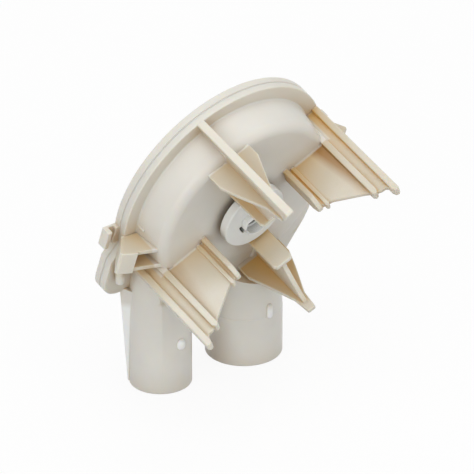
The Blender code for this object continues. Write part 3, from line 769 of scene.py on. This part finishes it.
def clip_lug(side, reach, leaf, slot, middle, span):
    """A small channel on the edge of the cover."""
    top = COVER_TOP
    section = [(45.0, 0.2), (reach, 0.2), (reach, top + 1.4), (reach - leaf, top + 1.4), (reach - leaf, 1.3),
               (reach - leaf - slot, 1.3), (reach - leaf - slot, top - 0.2), (45.0, top - 0.2)]
    return cross_plate("lug", [(side * x, w) for x, w in section], middle - span / 2.0, middle + span / 2.0, 0.3, 0.5)


def outlet_fin():
    """The thin web beside the outlet: a plate through four points, in the plane of the first, second and last."""
    corner = np.array([(-40.4, -40.6, 4.6), (-36.0, -82.6, 19.0), (-33.2, -80.4, 24.0), (-36.8, -40.6, 10.0)])
    along = corner[1] - corner[0]
    along = along / np.linalg.norm(along)
    normal = np.cross(along, corner[3] - corner[0])
    normal = normal / np.linalg.norm(normal)
    across = np.cross(normal, along)
    flat = np.stack([(corner - corner[0]) @ along, (corner - corner[0]) @ across], axis=-1)
    return plate("fin", flat, 1.95, (corner[0], along, across, normal), 0.5, 0.6)


def bowl():
    """The solid bowl, turned: flat face, rounded front edge, drafted wall and a fillet onto the rim."""
    edge = arc(37.2, FACE_W - 4.4, 4.4, 90.0, 9.0, 12)
    root = arc(44.05, 7.4, 0.95, 180.0, 270.0, 6)
    profile = np.concatenate([[(0.0, FACE_W)], edge, root, [(44.6, 6.45), (44.6, 5.0), (0.0, 5.0)]])
    solid = turned("pump_housing_fine", profile, 200)
    ledge = block("ledge", rectangle((-BEYOND, -39.4), (BEYOND, -27.6)), FACE_W - 1.2, FACE_W + 1.0)
    return combine(solid, [ledge], "DIFFERENCE")


def port_tube(name, port, radius, wall, steps, slope):
    """A port as a solid with a rounded end, cut off above along a slope and behind where the rim starts."""
    end = arc(radius - 0.45, 0.45, 0.45, -90.0, 0.0, 4)
    tube = turned(name, np.concatenate([[(0.0, 0.0)], end, wall]), steps, up_port(port))
    over = side_plate("over", [(10.0, BEYOND), (10.0, FACE_W - 1.3)] + slope, 2 * BESIDE)
    under = block("under", rectangle((-BESIDE, -51.3), (BESIDE, 10.0)), BEHIND, RIM_LOW + 0.1)
    return combine(tube, [over, under], "DIFFERENCE")


def port_bore(port, radius, length, slope):
    """A port's bore with a chamfered mouth, ended above by a slope and behind by the rim's wall."""
    profile = [(0, -5), (radius + 0.4, -5), (radius + 0.4, 0.0), (radius, 0.5), (radius, length), (0, length)]
    bore = turned("bore", profile, 128, up_port(port))
    roof = side_plate("roof", [(10.0, BEYOND), (10.0, LOW_ROOF)] + slope, 2 * BESIDE)
    back = block("back", rectangle((-BESIDE, -53.5), (BESIDE, 10.0)), BEHIND, RIM_LOW + WALL)
    return combine(bore, [roof, back], "DIFFERENCE")


def port_stud(port, radius, size, low, high):
    """An upright stud on the front of a port, sunk 0.2 mm into its wall."""
    start, _, _, up = up_port(port, radius - 0.2)
    return pill("stud", start + up * (low + size), start + up * (high - size), size, 24)


def housing_mesh():
    """The front moulding: everything that is joined, and then the hollows that are cut."""
    face_low = FACE_W - 1.3
    flare = [(38.2, -12.0), (40.1, -15.0), (38.9, -22.0), (33.2, -39.6), (29.0, -44.0), (12.0, -45.0), (14.0, -24.0)]
    stepped = [(INLET_R, 20.9), (INLET_R - 0.16, 21.1), (INLET_R - 0.16, 55.0), (0.0, 55.0)]
    housing = bowl()
    adds = [
        slab("rim", rim_outline(), RIM_LOW, FLANGE_W, 0.55, 0.0),
        slab("flare", soft_corners(flare, 3.0), RIM_LOW + 1.4, FACE_W - 0.5, 1.8, 0.0),
        port_tube("outlet", OUTLET, OUTLET_R, [(OUTLET_R, 66.0), (0.0, 66.0)], 144,
                  [(-35.0, face_low), (-53.0, 30.1), (-53.0, BEYOND)]),
        port_tube("inlet", INLET, INLET_R, stepped, 160, [(-39.6, face_low), (-39.6, BEYOND)]),
        outlet_fin(),
    ]
    for angle in GUIDE_ANGLES:
        adds += guide_bracket(angle)
    adds += wing_bracket(TALL_ANGLE, "tall") + wing_bracket(SHORT_ANGLE, "short")
    adds += clip_box(-1.0, 56.0, -13.5, 11.0) + clip_box(1.0, 52.3, 14.9, 7.8, 14.9)
    adds += [
        pill("peg", (-48.0, -24.0, 8.6), (-46.4, -31.2, 9.0), 1.8),
        slab("wall_rib", rectangle((-43.2, -5.0), (-41.0, -3.6)), 5.5, 10.4, 0.4, 0.5),
        port_stud(OUTLET, OUTLET_R, 2.0, 18.9, 23.7),
        port_stud(INLET, INLET_R, 1.4, 20.2, 26.8),
    ]
    combine(housing, adds, "UNION")

    chamber = [(0.0, BOSS_END), (BOSS_R, BOSS_END), (BOSS_R, CHAMBER_TOP), (CHAMBER_R - 4.2, CHAMBER_TOP),
               (CHAMBER_R - 1.7, CHAMBER_TOP - 2.6), (CHAMBER_R, RIM_LOW - 1.0), (0.0, RIM_LOW - 1.0)]
    shaft = [(0.0, FACE_W + 1.0), (BEARING_BORE, FACE_W + 1.0), (BEARING_BORE, SEAL_SEAT), (SEAL_BORE, SEAL_SEAT),
             (SEAL_BORE, BOSS_END - 1.0), (0.0, BOSS_END - 1.0)]
    hollow = [(34.0, -14.0), (36.8, -18.0), (30.8, -38.0), (27.0, -41.2), (14.0, -42.0), (14.0, -26.0)]
    cuts = [
        turned("chamber", chamber),
        turned("shaft_bore", shaft, 96),
        block("flare_hollow", hollow, RIM_LOW - 1.0, LOW_ROOF),
        port_bore(OUTLET, OUTLET_R - PORT_WALL, 57.0, [(-34.0, LOW_ROOF), (-48.0, 25.9), (-48.0, BEYOND)]),
        port_bore(INLET, INLET_R - PORT_WALL, 52.0, [(-42.4, LOW_ROOF), (-42.4, BEYOND)]),
    ]
    combine(housing, cuts, "DIFFERENCE")
    return smooth(housing)


def cover_mesh():
    """The rear cover: rim plate, stepped dish behind it and two clip lugs, with the chamber's floor sunk in."""
    cover = slab("rear_cover_fine", rim_outline(), 0.0, COVER_TOP, 0.5, 0.0)
    lip = arc(40.3, -0.8, 0.7, 0.0, -60.0, 4)
    dish = np.concatenate([[(0.0, 0.6), (41.0, 0.6)], lip, [(39.4, -1.5), (30.4, -1.5), (29.2, -0.6), (0.0, -0.6)]])
    lugs = [clip_lug(-1.0, 55.4, 2.2, 2.8, -10.2, 8.6), clip_lug(1.0, 52.4, 1.6, 2.2, 13.9, 4.6)]
    combine(cover, [turned("dish", dish, 180)] + lugs, "UNION")
    floor = [(0.0, COVER_TOP + 1.0), (CHAMBER_R, COVER_TOP + 1.0), (CHAMBER_R, CHAMBER_FLOOR),
             (0.0, CHAMBER_FLOOR)]
    combine(cover, [turned("floor", floor, 180)], "DIFFERENCE")
    return smooth(cover)


def weld_bead():
    """The weld between the two halves: a band 0.6 mm high, 0.32 mm in from the rim's edge."""
    bead = block("weld_bead", move_in(rim_outline(), 0.32), SEAM_W - GAP, SEAM_W + GAP)
    middle = turned("middle", [(0.0, 6.0), (45.0, 6.0), (45.0, 1.0), (0.0, 1.0)], 160)
    combine(bead, [middle], "DIFFERENCE")
    return smooth(bead)


def d_outline(size, steps=60):
    """A circle with a flat cut off it: size is its radius and the flat's distance from the middle."""
    radius, flat = size
    half = math.degrees(math.acos(flat / radius))
    return arc(0.0, 0.0, radius, FLAT_ANGLE + half, FLAT_ANGLE + 360.0 - half, steps)


def hub_mesh():
    """The drive hub: a rounded disc on a hollow stem, with a notched D collar round the shaft's socket."""
    shoulder = STEM_R + 2.4
    rim = arc(HUB_R - 0.7, HUB_W - 0.7, 0.7, 90.0, 0.0, 6)
    under = arc(HUB_R - 0.5, HUB_W - 3.4, 0.5, 0.0, -90.0, 4)
    stem = [(shoulder, HUB_W - 3.9), (shoulder, FACE_W + 1.0), (STEM_R, FACE_W + 1.0), (STEM_R, STEM_END + 0.5),
            (STEM_R - 0.8, STEM_END), (0.0, STEM_END)]
    hub = turned("drive_hub_fine", np.concatenate([[(0.0, HUB_W)], rim, under, stem]), 160)
    combine(hub, [slab("collar", d_outline(COLLAR_D), HUB_W - 0.6, HUB_W + 2.5, 0.3, 0.0)], "UNION")
    notch = np.concatenate([arc(0.0, 0.0, 7.8, 199.0, 239.0, 8), arc(0.0, 0.0, 3.6, 239.0, 199.0, 8)])
    above = HUB_W + 6.0
    cuts = [
        block("mouth", d_outline(MOUTH_D), HUB_W - 1.4, above),
        block("notch", notch, HUB_W - 3.6, above),
        block("socket", d_outline(SOCKET_D), HUB_W - SOCKET_DEPTH, above),
    ]
    combine(hub, cuts, "DIFFERENCE")
    return smooth(hub)


def garter_coil():
    """The seal's spring: a wire of 0.11 mm radius wound 120 times round a ring.

    The wire's middle runs at ring radius + 0.37 * cos(120 t) and height + 0.37 * sin(120 t), and its skin
    lies 0.11 mm round that along the ring's radial and axial directions.
    """
    ring, height, coil, wire, turns = STEM_R + 2.96, BOSS_END + 1.25, 0.37, 0.11, 120
    t = np.linspace(0.0, 2.0 * math.pi, turns * 10, endpoint=False)[:, None]
    v = np.linspace(0.0, 2.0 * math.pi, 6, endpoint=False)[None, :]
    turn = turns * t
    out = np.stack([np.cos(turn) * np.cos(t), np.cos(turn) * np.sin(t), np.sin(turn)], axis=-1)
    radius = ring + coil * np.cos(turn)
    middle = np.stack([radius * np.cos(t), radius * np.sin(t), height + coil * np.sin(turn)], axis=-1)
    along = np.stack([-np.sin(t), np.cos(t), np.zeros_like(t)], axis=-1)
    skin = middle + wire * (np.cos(v)[..., None] * out + np.sin(v)[..., None] * along)
    obj = grid_object("garter_coil", to_world(skin), closed=True)
    outwards(obj.data)
    return obj


# Hand-over of the fine pieces to the frame.


def stand_in(obj, material, node, body="body"):
    """Give a fine piece its finish and let it stand for its CAD node; one without a node goes with the housing."""
    obj.data.materials.clear()
    obj.data.materials.append(material)
    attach(obj, body)
    if node:
        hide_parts(node)


# Stage.


def pale_floor(colour):
    """The floor's material: to the camera it is nine tenths plain white, and the rest takes the pump's shadow."""
    finish = Finish("pale_floor")
    path = finish.nodes.new("ShaderNodeLightPath")
    seen = Value(finish, path.outputs["Is Camera Ray"])
    glossy = Value(finish, path.outputs["Is Glossy Ray"])
    through = Value(finish, path.outputs["Is Transmission Ray"])
    cloudy = finish.blend(finish.ramp(finish.noise(3.0), 0.4, 0.6), colour, shade(colour, 1.02))
    base = finish.blend(seen, cloudy, (0.95, 0.95, 0.95, 1.0))
    finish.set(Base_Color=base, Roughness=0.9, Specular_IOR_Level=0.1)
    light = finish.node("ShaderNodeEmission", {}, {"Color": (1.0, 1.0, 1.0, 1.0), "Strength": 1.0})
    mask = (seen + glossy + through).clamped() * 0.9
    mixed = finish.node("ShaderNodeMixShader", {}, {0: mask, 1: Value(finish, finish.shader.outputs[0]), 2: light})
    finish.feed(finish.nodes["Material Output"].inputs["Surface"], mixed)
    return finish.material


def backdrop():
    """The floor just under the pump, which bends up far behind it into a wall.

    The bend is a quarter circle: reach + radius * sin a back and radius * (1 - cos a) up.
    """
    floor_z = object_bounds()[0][2] - 0.0002
    reach, radius = 2.5, 1.6
    a = np.linspace(0.0, math.pi / 2.0, 24)[1:]
    bend = np.stack([reach + radius * np.sin(a), floor_z + radius * (1.0 - np.cos(a))], axis=-1)
    curve = np.concatenate([[(-6.0, floor_z), (reach, floor_z)], bend, [(reach + radius, floor_z + 8.0)]])
    return swept_sheet("studio_floor", 8.0, curve)


def soft_room():
    """An even white world."""
    world = bpy.data.worlds.new("soft_room")
    world.use_nodes = True
    background = world.node_tree.nodes["Background"]
    background.inputs["Color"].default_value = (1.0, 1.0, 1.0, 1.0)
    background.inputs["Strength"].default_value = ROOM_LIGHT
    return world


def add_lamp(name, place, target, size, power):
    """A square area lamp that faces a point."""
    data = bpy.data.lights.new(name, "AREA")
    data.shape = "SQUARE"
    data.size = size
    data.energy = power
    lamp = bpy.data.objects.new(name, data)
    lamp.location = place
    back = np.array(place) - np.array(target)
    flat = math.hypot(back[0], back[1])
    lamp.rotation_euler = (math.atan2(flat, back[2]), 0.0, math.atan2(back[0], -back[1]))
    bpy.context.scene.collection.objects.link(lamp)


def photo_camera(lens):
    """The camera where the photograph was taken from."""
    camera = bpy.data.cameras.new("photo_camera")
    camera.sensor_width = 36.0
    camera.lens = lens
    camera.clip_end = 50.0
    view = bpy.data.objects.new("photo_camera", camera)
    view.location = CAMERA_PLACE
    view.rotation_euler = (math.radians(90.0 - CAMERA_ELEVATION), 0.0, -math.radians(CAMERA_AZIMUTH))
    bpy.context.scene.collection.objects.link(view)
    return view


# Operators, panel and start.


class PUMP_OT_housing(bpy.types.Operator):
    """Make the moulded housing, the rear cover and the weld between them"""

    bl_idname = "pump.housing"
    bl_label = "Housing and Cover"

    def execute(self, context):
        look = context.scene.pump_colours
        plastic = moulded_plastic("ivory_plastic", look.ivory, look.hollow_shade, look.roughness, look.glow, look=look)
        stand_in(housing_mesh(), plastic, "pump_housing")
        stand_in(cover_mesh(), plastic, "rear_cover")
        stand_in(weld_bead(), plastic, None)
        return {"FINISHED"}


class PUMP_OT_rotor(bpy.types.Operator):
    """Make the drive hub and dress the impeller"""

    bl_idname = "pump.rotor"
    bl_label = "Drive Hub and Impeller"

    def execute(self, context):
        look = context.scene.pump_colours
        # Painted shade: the hub's hollows, above all its socket, take a near-black colour by ambient occlusion.
        grey = moulded_plastic("grey_plastic", look.grey, SOCKET_PAINTED_SHADE, 0.34, 0.10, FINE_GRAIN, (0.05, 0.40))
        stand_in(hub_mesh(), grey, "drive_hub", "rotor")
        # Painted shade: the impeller's hollows take a darker white.
        white = moulded_plastic("white_plastic", look.white, shade(look.white, 0.7), 0.4, 0.15, FINE_GRAIN)
        dress("impeller", white)
        return {"FINISHED"}


class PUMP_OT_shaft_parts(bpy.types.Operator):
    """Dress the bearing, the shaft seal and the thrust washers"""

    bl_idname = "pump.shaft_parts"
    bl_label = "Bearing, Seal and Washers"

    def execute(self, context):
        look = context.scene.pump_colours
        dress("sleeve_bearing", metal("sintered_bronze", look.bronze, 0.45, 2200.0))
        steel = metal("pressed_steel", look.steel, 0.3, 900.0)
        dress("seal_case", steel)
        stand_in(garter_coil(), steel, "garter_spring")
        dress("seal_lip", rubber("seal_rubber", look.rubber))
        # Painted shade: the washers' hollows take a darker white.
        washer = moulded_plastic("washer_plastic", look.white, shade(look.white, 0.8), 0.5, 0.0, FINE_GRAIN)
        dress("front_thrust_washer", washer)
        dress("rear_thrust_washer", washer)
        return {"FINISHED"}


class PUMP_OT_stage(bpy.types.Operator):
    """Set the floor, the soft lamps and the camera"""

    bl_idname = "pump.stage"
    bl_label = "Studio Stage"

    def execute(self, context):
        scene = context.scene
        stage = scene.pump_stage
        floor = backdrop()
        floor.data.materials.append(pale_floor(stage.floor))
        floor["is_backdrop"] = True
        scene.world = soft_room()
        for name, place, target, size in LAMPS:
            add_lamp(name + "_lamp", place, target, size, getattr(stage, name))
        scene.camera = photo_camera(stage.lens)
        scene.view_settings.view_transform = "Standard"
        return {"FINISHED"}


class PUMP_PT_panel(bpy.types.Panel):
    """Lists the dressing operators and their settings."""

    bl_idname = "PUMP_PT_panel"
    bl_label = "Drain Pump"
    bl_space_type = "VIEW_3D"
    bl_region_type = "UI"
    bl_category = "Drain Pump"

    def draw(self, context):
        layout = self.layout
        for operator in STEPS:
            layout.operator(operator.bl_idname)
        for group in (context.scene.pump_colours, context.scene.pump_stage):
            column = layout.column(align=True)
            for name in group.__annotations__:
                column.prop(group, name)


STEPS = (PUMP_OT_housing, PUMP_OT_rotor, PUMP_OT_shaft_parts, PUMP_OT_stage)
CLASSES = (PumpColours, PumpStage) + STEPS + (PUMP_PT_panel,)


def register():
    for cls in CLASSES:
        bpy.utils.register_class(cls)
    bpy.types.Scene.pump_colours = PointerProperty(type=PumpColours)
    bpy.types.Scene.pump_stage = PointerProperty(type=PumpStage)


def unregister():
    del bpy.types.Scene.pump_stage
    del bpy.types.Scene.pump_colours
    for cls in reversed(CLASSES):
        bpy.utils.unregister_class(cls)


def main():
    """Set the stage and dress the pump."""
    register()
    bpy.ops.pump.stage()
    bpy.ops.pump.housing()
    bpy.ops.pump.rotor()
    bpy.ops.pump.shaft_parts()


if __name__ == "__main__":
    main()
